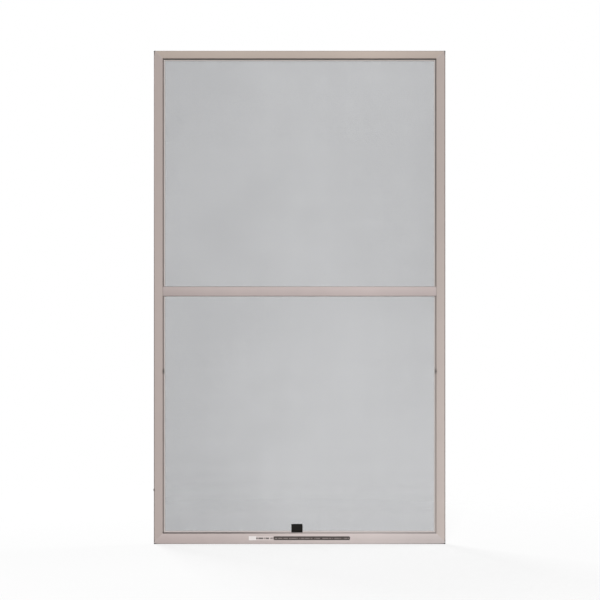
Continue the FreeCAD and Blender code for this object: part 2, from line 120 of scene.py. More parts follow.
class Finish:
    # the nodes of one material, or of the world, with a method that adds any node

    def __init__(self, owner, shader="ShaderNodeBsdfPrincipled", output="ShaderNodeOutputMaterial"):
        self.owner = owner
        owner.use_nodes = True
        self.tree = owner.node_tree
        self.tree.nodes.clear()
        self.shader = self.tree.nodes.new(shader)
        self.output = self.tree.nodes.new(output)
        self.show(Value(self, self.shader.outputs[0]))

    def show(self, look):
        self.plug(self.output.inputs["Surface"], look)

    def plug(self, socket, value):
        if isinstance(value, Value):
            self.tree.links.new(value.socket, socket)
        elif isinstance(value, tuple) and len(value) == 3 and socket.type == "RGBA":
            socket.default_value = (*value, 1)
        else:
            socket.default_value = value

    def node(self, kind, settings=None, inputs=None, output=0):
        made = self.tree.nodes.new(kind)
        for name, value in (settings or {}).items():
            if name == "stops":
                self.setStops(made.color_ramp.elements, value)
            else:
                setattr(made, name, value)
        for name, value in (inputs or {}).items():
            self.plug(made.inputs[name], value)
        return Value(self, made.outputs[output])

    def setStops(self, elements, stops):
        while len(elements) < len(stops):
            elements.new(1)
        for element, (position, level) in zip(elements, stops):
            element.position = position
            element.color = (level, level, level, 1)

    def surface(self, **sockets):
        # Base_Color=... goes to the shader's Base Color socket
        for name, value in sockets.items():
            self.plug(self.shader.inputs[name.replace("_", " ")], value)

    def point(self):
        return self.node("ShaderNodeTexCoord", output="Object")

    def axes(self):
        point = self.point()
        return [self.node("ShaderNodeSeparateXYZ", {}, {0: point}, axis) for axis in "XYZ"]

    def place(self, scale):
        # the point on the object, stretched along the axes
        return self.node("ShaderNodeMapping", {}, {"Vector": self.point(), "Scale": scale})

    def noise(self, size, detail, scale=(1, 1, 1), roughness=0.55):
        # cloudy pattern from 0 to 1 whose clouds are about size metres wide
        return self.node(
            "ShaderNodeTexNoise",
            {},
            {"Vector": self.place(scale), "Scale": 1 / size, "Detail": detail, "Roughness": roughness},
        )

    def cells(self, size):
        # distance to the nearest of many scattered points
        return self.node("ShaderNodeTexVoronoi", {}, {"Vector": self.point(), "Scale": 1 / size})

    def levels(self, far, levels):
        # from one level to the next, at even distances, as far goes from 0 to 1
        stops = [(index / (len(levels) - 1), level) for index, level in enumerate(levels)]
        return self.node("ShaderNodeValToRGB", {"stops": stops}, {"Fac": far})

    def mix(self, amount, first, second):
        # colours, from first to second: the node's sockets 6 and 7, and its output 2
        return self.node("ShaderNodeMix", {"data_type": "RGBA"}, {0: amount, 6: first, 7: second}, 2)

    def bump(self, height, distance, under=None):
        inputs = {"Height": height, "Distance": distance}
        if under is not None:
            inputs["Normal"] = under
        return self.node("ShaderNodeBump", {}, inputs)


def newFinish(name, shader="ShaderNodeBsdfPrincipled"):
    return Finish(bpy.data.materials.new(name), shader)


def tint(colour, amount):
    return tuple(part * amount for part in colour)


# The coat of the bars. A pair called a reach, width or depth says where something begins to show and where
# it shows in full.
paint = {
    "roughness": 0.58,
    "gloss": 0.3,
    "shade": 0.6,                        # level of the lines, clouds and flecks against the coat
    "line": 0.5 * mm,                    # faint lines left by the rollers
    "lineStretch": 0.012,
    "lineDepth": 0.004 * mm,
    "lineRange": (0.25, 0.75),
    "lineShows": 0.09,
    "lineRough": 0.10,
    "blush": 60 * mm,                    # wide faint clouds
    "blushRange": (0.3, 0.7),
    "blushShows": 0.08,
    "blushRough": 0.08,
    "fleck": 4 * mm,
    "fleckRange": (0.05, 0.02),
    "fleckShows": 0.35,
    "peel": 0.9 * mm,                    # orange peel of the baked coat
    "peelDepth": 0.006 * mm,
    "sheen": (0.62, 0.60, 0.58),         # bare edge of the strip along the mitres
    "sheenWidth": (0.22 * mm, 0.088 * mm),
    "sheenShows": 0.75,
    "ledge": (0.52, 0.485, 0.47),        # painted light: the ledge that carries the cloth, paler than the face
    "ledgeWidth": (3.0 * mm, 2.6 * mm),
    "ledgeShows": 0.6,
    "ledgeClouds": 0.2,                  # and this much more in the clouds
    "faceDepth": (2.2 * mm, 1.2 * mm),   # how far behind the face its rounded edges end,
    "slopeDepth": (0.2 * mm, 0.9 * mm),  # the sloped wall starts,
    "ledgeDepth": (3.6 * mm, 4.4 * mm),  # the ledge starts
    "innerDepth": (6.0 * mm, 5.4 * mm),  # and the ledge ends
}

# Painted shade on the coat, in the recess by the sloped wall and along the edges, and darker marks beside
# the frame's corners, at the crossbar's ends and round the button
paintedShadeAndMarks = {
    "colour": (0.045, 0.038, 0.034),
    "shows": 0.7,
    "clouds": 0.2,                       # more in the clouds
    "grains": 0.4,                       # and on the orange peel
    "bandStart": 1.0 * mm,               # how gently the band of painted shade on the sloped wall starts
    "bandStop": 0.4 * mm,
    "edgeFull": 0.3,                     # share of an edge's width that is in full painted shade
    "cornerReach": (16 * mm, 7 * mm),    # from the frame's corners
    "cornerWidth": (3.4 * mm, 1.2 * mm),
    "endWidth": (1.62 * mm, 0.54 * mm),  # the crossbar's ends, where they meet the side bars
    "endShows": 0.45,
    "buttonReach": 1.5,                     # round the button, times half its height
    "buttonWidth": (3.84 * mm, 0),
    "buttonDepth": (7 * mm, 0),
    "buttonShows": 0.55,
}

# litCoat is the colour at the low and the high end of the bar, and differs from bar to bar as painted light
# and shade.
# paintedLight, paintedShadeAndMarks and the edges' painted shade are levels at even distances along it.
# across, edgeWidth and shadeBand go from the bar's inner edge to its outer edge, across being painted light
# and shade from one to the other, and corner darkens the outer edge beside the frame's corners.
bars = {
    "left_stile": {
        "along": "z",
        "litCoat": ((0.445, 0.376, 0.352), (0.445, 0.373, 0.347)),
        "paintedLight": (1.0, 0.99, 0.98, 0.90, 0.86),
        "across": (1.0, 1.0),
        "paintedShadeAndMarks": (0.50, 0.56, 0.66, 0.64, 0.58),
        "shadeBand": (2.8 * mm, 5.3 * mm),
        "edgeWidth": (3.2 * mm, 3.2 * mm),
        "innerEdgeShade": (0.0, 0.0),
        "outerEdgeShade": (0.5, 0.6, 0.55, 0.2, 0.2),
        "corner": 0.5,
    },
    "right_stile": {
        "along": "z",
        "litCoat": ((0.557, 0.484, 0.450), (0.570, 0.481, 0.442)),
        "paintedLight": (1.0, 0.95, 0.855, 0.75, 0.742),
        "across": (0.96, 1.02),
        "paintedShadeAndMarks": (0.25, 0.38, 0.60, 0.90, 0.88),
        "shadeBand": (1.9 * mm, 4.4 * mm),
        "edgeWidth": (3.2 * mm, 3.2 * mm),
        "innerEdgeShade": (0.0, 0.0),
        "outerEdgeShade": (0.5, 0.7, 0.6, 0.65, 0.6),
        "corner": 0.4,
    },
    "top_rail": {
        "along": "x",
        "litCoat": ((0.497, 0.412, 0.357), (0.497, 0.414, 0.363)),
        "paintedLight": (0.82, 0.886, 0.905, 1.0, 0.88),
        "across": (0.94, 1.04),
        "paintedShadeAndMarks": (0.94, 0.95, 0.93, 0.88, 0.90),
        "shadeBand": (1.9 * mm, 5.4 * mm),
        "edgeWidth": (2.0 * mm, 2.0 * mm),
        "innerEdgeShade": (0.1, 0.1),
        "outerEdgeShade": (0.1, 0.1, 0.35, 0.35, 0.5),
        "corner": 0.0,
    },
    "bottom_rail": {
        "along": "x",
        "litCoat": ((0.668, 0.563, 0.540), (0.638, 0.571, 0.555)),
        "paintedLight": (0.73, 0.79, 0.945, 0.975, 0.885),
        "across": (1.09, 0.93),
        "paintedShadeAndMarks": (0.94, 1.0, 0.42, 0.36, 0.68),
        "shadeBand": (2.5 * mm, 6.1 * mm),
        "edgeWidth": (2.0 * mm, 2.0 * mm),
        "innerEdgeShade": (0.0, 0.0),
        "outerEdgeShade": (0.6, 0.0, 0.2, 0.2, 0.9),
        "corner": 0.35,
    },
    "crossbar": {
        "along": "x",
        "litCoat": ((0.512, 0.431, 0.413), (0.528, 0.449, 0.435)),
        "paintedLight": (0.77, 0.885, 0.925, 0.99, 0.90),
        "across": (0.95, 1.10),
        "paintedShadeAndMarks": (0.0, 0.0),
        "shadeBand": (2.0 * mm, 5.0 * mm),
        "edgeWidth": (1.1 * mm, 1.8 * mm),
        "innerEdgeShade": (0.5, 0.45, 0.6, 0.6, 0.6),
        "outerEdgeShade": (0.7, 0.8, 0.55, 0.5, 0.65),
        "corner": 0.0,
    },
}


def makePaint(name):
    # baked satin coat on rolled strip, with its fine lines along the bar, painted light and shade along and
    # across it, painted light on the ledge, and painted shade in the recess and on the edges
    look = bars[name]
    finish = newFinish("paint_" + name)
    stretch = [1, 1, 1]
    stretch["xyz".index(look["along"])] = paint["lineStretch"]
    lines = finish.noise(paint["line"], 2.0, tuple(stretch))
    blush = finish.noise(paint["blush"], 2.0)
    peel = finish.noise(paint["peel"], 1.0)
    fleck = finish.cells(paint["fleck"]).step(*paint["fleckRange"])

    x, y, z = finish.axes()
    low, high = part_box(name)
    fromInner, fromOuter = {
        "left_stile": (openLow - x, x + sideX),
        "right_stile": (x - openHigh, sideX - x),
        "top_rail": (z - openTop, high.z - z),
        "bottom_rail": (openBottom - z, z - low.z),
        "crossbar": (z - low.z, high.z - z),
    }[name]
    far = (z - low.z) / (high.z - low.z) if look["along"] == "z" else (x - low.x) / (high.x - low.x)
    deep = y - faceY
    front = deep.step(*paint["faceDepth"])
    inner = deep.step(*paint["innerDepth"])

    shade = tint(look["litCoat"][0], paint["shade"])
    colour = finish.mix(far, *look["litCoat"])
    colour = finish.mix((1 - blush.step(*paint["blushRange"])) * paint["blushShows"], colour, shade)
    colour = finish.mix(lines.step(*paint["lineRange"]) * paint["lineShows"], colour, shade)
    colour = finish.mix(fleck * paint["fleckShows"], colour, shade)
    # painted light and shade: the coat lighter or darker across the face and along the bar, as the lamps
    # fall on it
    innerPaintedLight, outerPaintedLight = look["across"]
    paintedLight = (fromInner / (fromInner + fromOuter)).step(0, 1) * (outerPaintedLight - innerPaintedLight) + innerPaintedLight
    paintedLight = paintedLight * finish.levels(far, look["paintedLight"])
    colour = finish.node("ShaderNodeVectorMath", {"operation": "SCALE"}, {0: colour, "Scale": paintedLight})

    # bare edges of the strip where the bars meet
    fromSide = sideX - abs(x)
    ends = ((cadHigh.z - z, cadHigh.z - openTop), (z - cadLow.z, openBottom - cadLow.z))
    for fromEnd, width in ends:
        mitre = abs(fromSide - fromEnd - (sideX - openHigh - width)).step(*paint["sheenWidth"])
        colour = finish.mix(mitre * paint["sheenShows"], colour, paint["sheen"])

    # painted light: the ledge paler than the face
    if name != "crossbar":
        ledge = fromInner.step(*paint["ledgeWidth"]) * deep.step(*paint["ledgeDepth"]) * inner
        ledgeLight = ledge * (paint["ledgeShows"] + blush * paint["ledgeClouds"])
        colour = finish.mix(ledgeLight, colour, paint["ledge"])

    # painted shade in the corner between the sloped wall and the ledge, and along the edges; then darker
    # marks
    start, stop = look["shadeBand"]
    shadeAndMarkMask = fromInner.step(start, start + paintedShadeAndMarks["bandStart"])
    shadeAndMarkMask = shadeAndMarkMask * fromInner.step(stop + paintedShadeAndMarks["bandStop"], stop - paintedShadeAndMarks["bandStop"])
    shadeAndMarkMask = shadeAndMarkMask * deep.step(*paint["slopeDepth"]) * inner * finish.levels(far, look["paintedShadeAndMarks"])
    # painted shade on the rounded edges of the face
    for edge, width, amounts in zip(
        (fromInner, fromOuter), look["edgeWidth"], (look["innerEdgeShade"], look["outerEdgeShade"])
    ):
        shadeAndMarkMask = shadeAndMarkMask + front * edge.step(width, paintedShadeAndMarks["edgeFull"] * width) * finish.levels(far, amounts)
    # darker on the outer edge beside the frame's corners
    if look["corner"]:
        top, bottom = [(fromSide + fromEnd).step(*paintedShadeAndMarks["cornerReach"]) for fromEnd, width in ends]
        shadeAndMarkMask = shadeAndMarkMask + (top + bottom) * fromOuter.step(*paintedShadeAndMarks["cornerWidth"]) * look["corner"]
    if name == "crossbar":
        shadeAndMarkMask = shadeAndMarkMask + (high.x - abs(x)).step(*paintedShadeAndMarks["endWidth"]) * paintedShadeAndMarks["endShows"]
    # darker on the sloped wall round the rivet heads
    if look["along"] == "z":
        ring = abs(z - rivet["height"]).step(*rivet["ringReach"]) * fromInner.step(*rivet["ringWidth"])
        shadeAndMarkMask = shadeAndMarkMask + ring * inner * rivet["ringDark"]
    # darker round the button on the left bar's outer side
    if name == "left_stile":
        buttonLow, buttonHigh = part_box("edge_button")
        middle = (buttonLow.z + buttonHigh.z) / 2
        reach = paintedShadeAndMarks["buttonReach"] * (buttonHigh.z - middle)
        ring = abs(z - middle).step(reach, 0) * fromOuter.step(*paintedShadeAndMarks["buttonWidth"])
        shadeAndMarkMask = shadeAndMarkMask + ring * deep.step(*paintedShadeAndMarks["buttonDepth"]) * paintedShadeAndMarks["buttonShows"]
    shadeAndMarkMask = shadeAndMarkMask * (paintedShadeAndMarks["shows"] + blush * paintedShadeAndMarks["clouds"] + peel * paintedShadeAndMarks["grains"])
    colour = finish.mix(shadeAndMarkMask, colour, paintedShadeAndMarks["colour"])

    roughness = paint["roughness"] + (lines - 0.5) * paint["lineRough"] + (blush - 0.5) * paint["blushRough"]
    normal = finish.bump(lines, paint["lineDepth"])
    normal = finish.bump(peel, paint["peelDepth"], normal)
    finish.surface(Base_Color=colour, Roughness=roughness, Normal=normal, Specular_IOR_Level=paint["gloss"])
    return finish.owner


mouldings = {
    "key": {
        "colour": (0.030, 0.029, 0.028),
        "roughness": 0.55,
        "gloss": 0.4,
        "grain": 0.5 * mm,
        "depth": 0.010 * mm,
    },
    "tab": {
        "colour": (0.008, 0.007, 0.006),
        "roughness": 0.6,
        "gloss": 0.08,
        "grain": 0.35 * mm,
        "depth": 0.02 * mm,
    },
    "button": {
        "colour": (0.06, 0.056, 0.053),
        "roughness": 0.5,
        "gloss": 0.4,
        "grain": 0.4 * mm,
        "depth": 0.01 * mm,
    },
}

# what all mouldings share
mouldLook = {
    "patch": 12,                 # size of the rubbed spots, in grains
    "patchRange": (0.55, 0.8),
    "patchTint": 1.7,
    "patchShows": 0.6,
    "patchRough": -0.08,
    "grainRange": (0.35, 0.75),
    "grainTint": 0.7,
    "grainShows": 0.4,
    "grainRough": 0.2,
    "grainEdge": 0.7,            # roughness of the noise itself
}


def makeMoulding(name, look):
    # moulded plastic with an eroded grain and a few paler rubbed spots
    finish = newFinish(name)
    grain = finish.noise(look["grain"], 3.0, roughness=mouldLook["grainEdge"])
    patch = finish.noise(look["grain"] * mouldLook["patch"], 2.0).step(*mouldLook["patchRange"])
    pale = tint(look["colour"], mouldLook["patchTint"])
    dark = tint(look["colour"], mouldLook["grainTint"])
    colour = finish.mix(patch * mouldLook["patchShows"], look["colour"], pale)
    colour = finish.mix(grain.step(*mouldLook["grainRange"]) * mouldLook["grainShows"], colour, dark)
    roughness = look["roughness"] + (grain - 0.5) * mouldLook["grainRough"]
    finish.surface(
        Base_Color=colour,
        Roughness=roughness + patch * mouldLook["patchRough"],
        Normal=finish.bump(grain, look["depth"]),
        Specular_IOR_Level=look["gloss"],
    )
    return finish.owner


yarnLook = {
    "colour": (0.030, 0.038, 0.056),
    "dustAndLightColour": (0.225, 0.235, 0.255),
    "roughness": 0.6,
    "gloss": 0.2,
    "slub": 2.4 * mm,
    "slubRange": (0.3, 0.8),
    "slubTint": 0.75,
    "slubShows": 0.3,
    "slubRough": 0.2,
    "dustAndLight": 0.1,                         # dust, all over
    "cloud": 0.20,                       # size of the dusty patches
    "cloudRange": (0.35, 0.65),
    "cloudShows": 0.24,
    "across": (openLow, -0.3 * openLow),     # painted light, more from the left edge to a little right of the middle,
    "acrossLightShows": 0.5,
    "down": (0.70, 0.17),                # more painted light still there, down from the first height to the second,
    "downLightShows": 0.55,
    "right": (0.12, 0.33),               # and above them painted shade, less again towards the right edge
    "rightShadeShows": 0.28,
}


def makeYarn():
    # coated glass yarn: the coat is even, with dust caught here and there, and painted light that grows from
    # the left towards the middle and the bottom, with painted shade towards the upper right edge
    finish = newFinish("coated_yarn")
    x, y, z = finish.axes()
    slub = finish.noise(yarnLook["slub"], 2.0)
    cloud = finish.noise(yarnLook["cloud"], 3.0).step(*yarnLook["cloudRange"])
    # painted light paler rightwards and downwards, painted shade at the upper right; the clouds and the
    # level all over are dust
    lower = z.step(*yarnLook["down"])
    dustAndLight = x.step(*yarnLook["across"]) * (lower * yarnLook["downLightShows"] + yarnLook["acrossLightShows"])
    dustAndLight = dustAndLight + (cloud - 0.5) * yarnLook["cloudShows"] + yarnLook["dustAndLight"]
    dustAndLight = dustAndLight - x.step(*yarnLook["right"]) * (1 - lower) * yarnLook["rightShadeShows"]
    colour = finish.mix(dustAndLight, yarnLook["colour"], yarnLook["dustAndLightColour"])
    dark = tint(yarnLook["colour"], yarnLook["slubTint"])
    colour = finish.mix(slub.step(*yarnLook["slubRange"]) * yarnLook["slubShows"], colour, dark)
    roughness = yarnLook["roughness"] + (slub - 0.5) * yarnLook["slubRough"]
    finish.surface(Base_Color=colour, Roughness=roughness, Specular_IOR_Level=yarnLook["gloss"])
    return finish.owner


vinylLook = {
    "colour": (0.050, 0.049, 0.048),
    "bloom": (0.10, 0.098, 0.095),
    "roughness": 0.5,
    "gloss": 0.4,
    "scuff": 9 * mm,
    "scuffRange": (0.45, 0.75),
    "scuffRough": 0.25,
    "grain": 0.4 * mm,
    "grainDepth": 0.008 * mm,
}


def makeVinyl():
    # soft vinyl cord with a pale bloom where the roller pressed it
    finish = newFinish("soft_vinyl")
    scuff = finish.noise(vinylLook["scuff"], 4.0)
    grain = finish.noise(vinylLook["grain"], 1.0)
    finish.surface(
        Base_Color=finish.mix(scuff.step(*vinylLook["scuffRange"]), vinylLook["colour"], vinylLook["bloom"]),
        Roughness=vinylLook["roughness"] + (scuff - 0.5) * vinylLook["scuffRough"],
        Normal=finish.bump(grain, vinylLook["grainDepth"]),
        Specular_IOR_Level=vinylLook["gloss"],
    )
    return finish.owner


def newObject(name, bm, material):
    mesh = bpy.data.meshes.new(name)
    bm.to_mesh(mesh)
    bm.free()
    made = bpy.data.objects.new(name, mesh)
    made.data.materials.append(material)
    bpy.context.scene.collection.objects.link(made)
    return made


def newPiece(name, bm, material):
    piece = newObject(name, bm, material)
    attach(piece, "root")
    return piece


def pour(source, bm):
    # add one bmesh to another
    mesh = bpy.data.meshes.new("poured")
    source.to_mesh(mesh)
    source.free()
    bm.from_mesh(mesh)
    bpy.data.meshes.remove(mesh)


def pick(items, kind):
    # the vertices, BMVert, or the edges, BMEdge, among what an operator made
    return [item for item in items if isinstance(item, kind)]


def span(edge, axis):
    # how far the edge goes along an axis, 0, 1 or 2
    return abs(edge.verts[1].co[axis] - edge.verts[0].co[axis])


def roundOff(bm, edges, offset, segments):
    bmesh.ops.bevel(
        bm, geom=edges, offset=offset, offset_type="OFFSET", affect="EDGES",
        segments=segments, profile=0.5, material=-1, clamp_overlap=True,
    )


def smooth(piece, angle):
    # shade round, apart from edges sharper than the angle in degrees
    piece.data.shade_smooth()
    bpy.context.view_layer.objects.active = piece
    piece.select_set(True)
    bpy.ops.object.shade_smooth_by_angle(angle=math.radians(angle))
    piece.select_set(False)


def trackLine(bm, points):
    # an open line of edges through the points
    last = bm.verts.new(points[0])
    for point in points[1:]:
        last = bmesh.ops.extrude_vert_indiv(bm, verts=[last])["verts"][0]
        last.co = point


# Cloth: every yarn is a thin closed strand that runs over the lips and down into the channels
cloth = {
    "pitch": 1.6 * mm,
    "wide": 0.53 * mm,
    "thick": 0.26 * mm,
    "edgeRound": 0.09 * mm,
    "warpY": backY - 0.81 * mm,
    "weftY": backY - 0.74 * mm,
    "overLip": 1.72 * mm,       # how far out the yarn turns down, behind the lip
    "floorY": backY - 4.65 * mm,
    "underCord": 3.45 * mm,     # length of the turn under the cord
    "jitter": 0.035 * mm,
    "seed": 7,
}


def strandTrack(low, high, middleY):
    # across the opening, over both lips and under the cord at each end
    out = cloth["overLip"]
    under = cloth["underCord"]
    floorY = cloth["floorY"] + (middleY - cloth["warpY"])
    return (
        (low - out - under, floorY),
        (low - out, floorY),
        (low - out, middleY),
        (high + out, middleY),
        (high + out, floorY),
        (high + out + under, floorY),
    )


def makeStrands(track, axis, count, pitch):
    # one ribbon, thickened and rounded, then repeated along the axis
    across = Vector((axis == 0, 0, axis == 2))
    strand = bmesh.new()
    trackLine(strand, track)
    bmesh.ops.translate(strand, verts=strand.verts, vec=across * (-cloth["wide"] / 2))
    made = bmesh.ops.extrude_edge_only(strand, edges=strand.edges)["geom"]
    bmesh.ops.translate(strand, verts=pick(made, bmesh.types.BMVert), vec=across * cloth["wide"])
    bmesh.ops.recalc_face_normals(strand, faces=strand.faces)
    bmesh.ops.solidify(strand, geom=strand.faces[:], thickness=cloth["thick"])
    bmesh.ops.recalc_face_normals(strand, faces=strand.faces)
    lengthwise = [
        edge for edge in strand.edges
        if edge.calc_length() > 4 * cloth["thick"] and span(edge, axis) < cloth["thick"] / 2
    ]
    roundOff(strand, lengthwise, cloth["edgeRound"], 1)
    bmesh.ops.spin(
        strand, geom=strand.verts[:] + strand.edges[:] + strand.faces[:], cent=(0, 0, 0), axis=(0, 0, 1),
        dvec=across * pitch, angle=0, steps=count - 1, use_duplicate=True,
    )
    return strand


def makeCloth():
    bm = bmesh.new()
    shift = random.Random(cloth["seed"])
    for low, high, start, end, middleY, axis in (
        (openBottom, openTop, openLow, openHigh, cloth["warpY"], 0),
        (openLow, openHigh, openBottom, openTop, cloth["weftY"], 2),
    ):
        gaps = int((end - start) / cloth["pitch"])
        pitch = (end - start) / gaps
        count = gaps + 2                   # the outermost yarns lie on the lips
        first = start - pitch / 2
        track = [
            Vector((first, y, along)) if axis == 0 else Vector((along, y, first))
            for along, y in strandTrack(low, high, middleY)
        ]
        layer = makeStrands(track, axis, count, pitch)
        steps = [shift.uniform(-1, 1) * cloth["jitter"] for index in range(count)]
        for vert in layer.verts:
            nearest = round((vert.co[axis] - first) / pitch)
            vert.co[axis] += steps[min(count - 1, max(0, nearest))]
        pour(layer, bm)
    piece = newPiece("woven_cloth", bm, makeYarn())
    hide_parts("insect_cloth")


# Cord: a ribbed vinyl cord round the whole channel, butted on the bottom run
cord = {
    "ribs": 12,
    "ribDepth": 0.14 * mm,
    "bendSteps": 6,
    "bendSpare": 0.2 * mm,      # the bends' radius, beyond the cord's own
    "buttAt": 86 * mm,          # from the frame's left side
    "buttGap": 0.5 * mm,
}


def makeCord():
    low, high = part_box("spline")
    radius = (high.y - low.y) / 2
    middleY = (high.y + low.y) / 2
    bend = radius + cord["bendSpare"]
    butt = cadLow.x + cord["buttAt"]
    cornerX = high.x - radius - bend
    cornerTop = high.z - radius - bend
    cornerBottom = low.z + radius + bend
    bm = bmesh.new()
    bmesh.ops.create_circle(bm, cap_ends=True, radius=radius, segments=2 * cord["ribs"])
    for index, vert in enumerate(sorted(bm.verts, key=lambda item: math.atan2(item.co.y, item.co.x))):
        if index % 2:
            vert.co *= 1 - cord["ribDepth"] / radius
    bmesh.ops.rotate(bm, verts=bm.verts, cent=(0, 0, 0), matrix=Matrix.Rotation(math.pi / 2, 3, "Y"))
    bmesh.ops.translate(bm, verts=bm.verts, vec=(butt, middleY, low.z + radius))
    ring = bm.edges[:]

    def run(x, z):
        # lengthen the cord
        nonlocal ring
        made = bmesh.ops.extrude_edge_only(bm, edges=ring)["geom"]
        moved = pick(made, bmesh.types.BMVert)
        ring = [edge for edge in pick(made, bmesh.types.BMEdge) if all(vert in moved for vert in edge.verts)]
        bmesh.ops.translate(bm, verts=moved, vec=(x, 0, z))

    def turn(x, z):
        # a quarter bend about this centre
        nonlocal ring
        verts = list({vert for edge in ring for vert in edge.verts})
        made = bmesh.ops.spin(
            bm, geom=verts + ring, cent=(x, middleY, z), axis=(0, -1, 0), angle=math.pi / 2,
            steps=cord["bendSteps"], use_merge=False, use_duplicate=False,
        )["geom_last"]
        ring = pick(made, bmesh.types.BMEdge)

    run(cornerX - butt, 0)
    turn(cornerX, cornerBottom)
    run(0, cornerTop - cornerBottom)
    turn(cornerX, cornerTop)
    run(-2 * cornerX, 0)
    turn(-cornerX, cornerTop)
    run(0, cornerBottom - cornerTop)
    turn(-cornerX, cornerBottom)
    run(butt - cord["buttGap"] + cornerX, 0)
    bmesh.ops.contextual_create(bm, geom=ring)
    bmesh.ops.recalc_face_normals(bm, faces=bm.faces)
    piece = newPiece("ribbed_cord", bm, makeVinyl())
    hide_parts("spline")
    print("cord", len(piece.data.polygons), "faces")


# Pull tab: a plate with grip ribs in front of the rail's inner edge, and a soft hook over it
tab = {
    "plate": 1.1 * mm,
    "rib": 0.35 * mm,
    "ribWide": 1.5 * mm,
    "ribs": 4,
    "ribRise": 1.0 * mm,
    "ribStart": 0.75,           # of the distance from rib to rib
    "bridge": (0.1 * mm, 1.2 * mm),      # bottom and top of the hook's bridge, above the rail's edge
    "wall": 0.2 * mm,           # the hook's thin wall behind the lip
    "toe": 2.6 * mm,
    "toeDrop": 1.25 * mm,       # from the rail's edge down to the toe's upper side
    "corner": 1.2 * mm,
    "cornerSteps": 5,
    "round": 0.25 * mm,
    "roundFrom": 0.5,           # edges that bend by more than this angle, in radians, are rounded
    "roundDepth": 0.5 * mm,     # where they lie at least this far in front of the plate's back
    "smooth": 35,
}


def makeTab():
    low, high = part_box("pull_tab")
    plateBack = low.y + tab["plate"]
    ribPitch = (high.z - openBottom) / (tab["ribs"] + 1)
    bridgeBottom, bridgeTop = (openBottom + rise for rise in tab["bridge"])
    toeTop = openBottom - tab["toeDrop"]
    toeBottom = toeTop - tab["wall"]
    profile = [(low.y, low.z)]
    for index in range(tab["ribs"]):
        middle = openBottom + tab["ribRise"] + ribPitch * (index + tab["ribStart"])
        profile += [
            (low.y, middle - tab["ribWide"]),
            (low.y - tab["rib"], middle - tab["ribWide"] / 2),
            (low.y - tab["rib"], middle + tab["ribWide"] / 2),
            (low.y, middle + tab["ribWide"]),
        ]
    profile += [
        (low.y, high.z),
        (plateBack, high.z),
        (plateBack, bridgeTop),
        (high.y, bridgeTop),
        (high.y, toeBottom),
        (high.y - tab["toe"], toeBottom),
        (high.y - tab["toe"], toeTop),
        (high.y - tab["wall"], toeTop),
        (high.y - tab["wall"], bridgeBottom),
        (plateBack, bridgeBottom),
        (plateBack, low.z),
    ]
    bm = bmesh.new()
    bm.faces.new([bm.verts.new((low.x, y, z)) for y, z in profile])
    made = bmesh.ops.extrude_face_region(bm, geom=bm.faces[:])["geom"]
    bmesh.ops.translate(bm, verts=pick(made, bmesh.types.BMVert), vec=(high.x - low.x, 0, 0))
    bmesh.ops.recalc_face_normals(bm, faces=bm.faces)
    topCorners = [
        edge for edge in bm.edges
        if all(vert.co.z > high.z - tiny for vert in edge.verts) and span(edge, 0) < tiny
    ]
    roundOff(bm, topCorners, tab["corner"], tab["cornerSteps"])
    front = [
        edge for edge in bm.edges
        if all(vert.co.y < plateBack - tab["roundDepth"] for vert in edge.verts)
        and edge.calc_face_angle(0) > tab["roundFrom"]
    ]
    roundOff(bm, front, tab["round"], 2)
    piece = newPiece("moulded_tab", bm, makeMoulding("soft_black", mouldings["tab"]))
    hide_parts("pull_tab")
    smooth(piece, tab["smooth"])
    print("tab", len(piece.data.polygons), "faces")


# Label: two plain fields of colour on a thin film, each with a row of dashes of no meaning
label = {
    "bottom": 9.5 * mm,
    "top": 19.2 * mm,
    "film": 0.07 * mm,
    "cornerSteps": 8,
    "rowDrop": 0.4 * mm,        # how far the row of dashes lies below the middle
    "rowSoft": 0.2 * mm,
    "dashShape": (1, 0.01, 0.05),
    "dashSoft": 0.03,
    "dashShows": 0.9,
    "blankSoft": 1.0 * mm,
    "speck": 0.5 * mm,
    "speckRange": (0.5, 0.9),
    "speckTint": 0.85,
    "speckShows": 0.3,
    "speckRough": 0.12,
    "speckDepth": 0.004 * mm,
    "roughness": 0.42,
    "gloss": 0.3,
}

labelFields = {
    "pale": {
        "across": (-123.4 * mm, -64.9 * mm),
        "inset": 0,
        "corner": 0.12,            # radius of the corners, times the label's height
        "ground": (0.66, 0.58, 0.56),
        "mark": (0.07, 0.06, 0.055),
        "dash": 3.4 * mm,
        "dashFrom": 0.42,
        "rowHeight": 3.8 * mm,
        "blankEnd": -106 * mm,     # the dashes start here
        "blank": (0.80, 0.755, 0.74),
    },
    "dark": {
        "across": (-63.4 * mm, 122.4 * mm),
        "inset": 0.35 * mm,
        "corner": 0.35,
        "ground": (0.036, 0.027, 0.024),
        "mark": (0.25, 0.205, 0.19),
        "dash": 5.0 * mm,
        "dashFrom": 0.41,
        "rowHeight": 2.2 * mm,
        "blankEnd": -61 * mm,
        "blank": (0.036, 0.027, 0.024),
    },
}


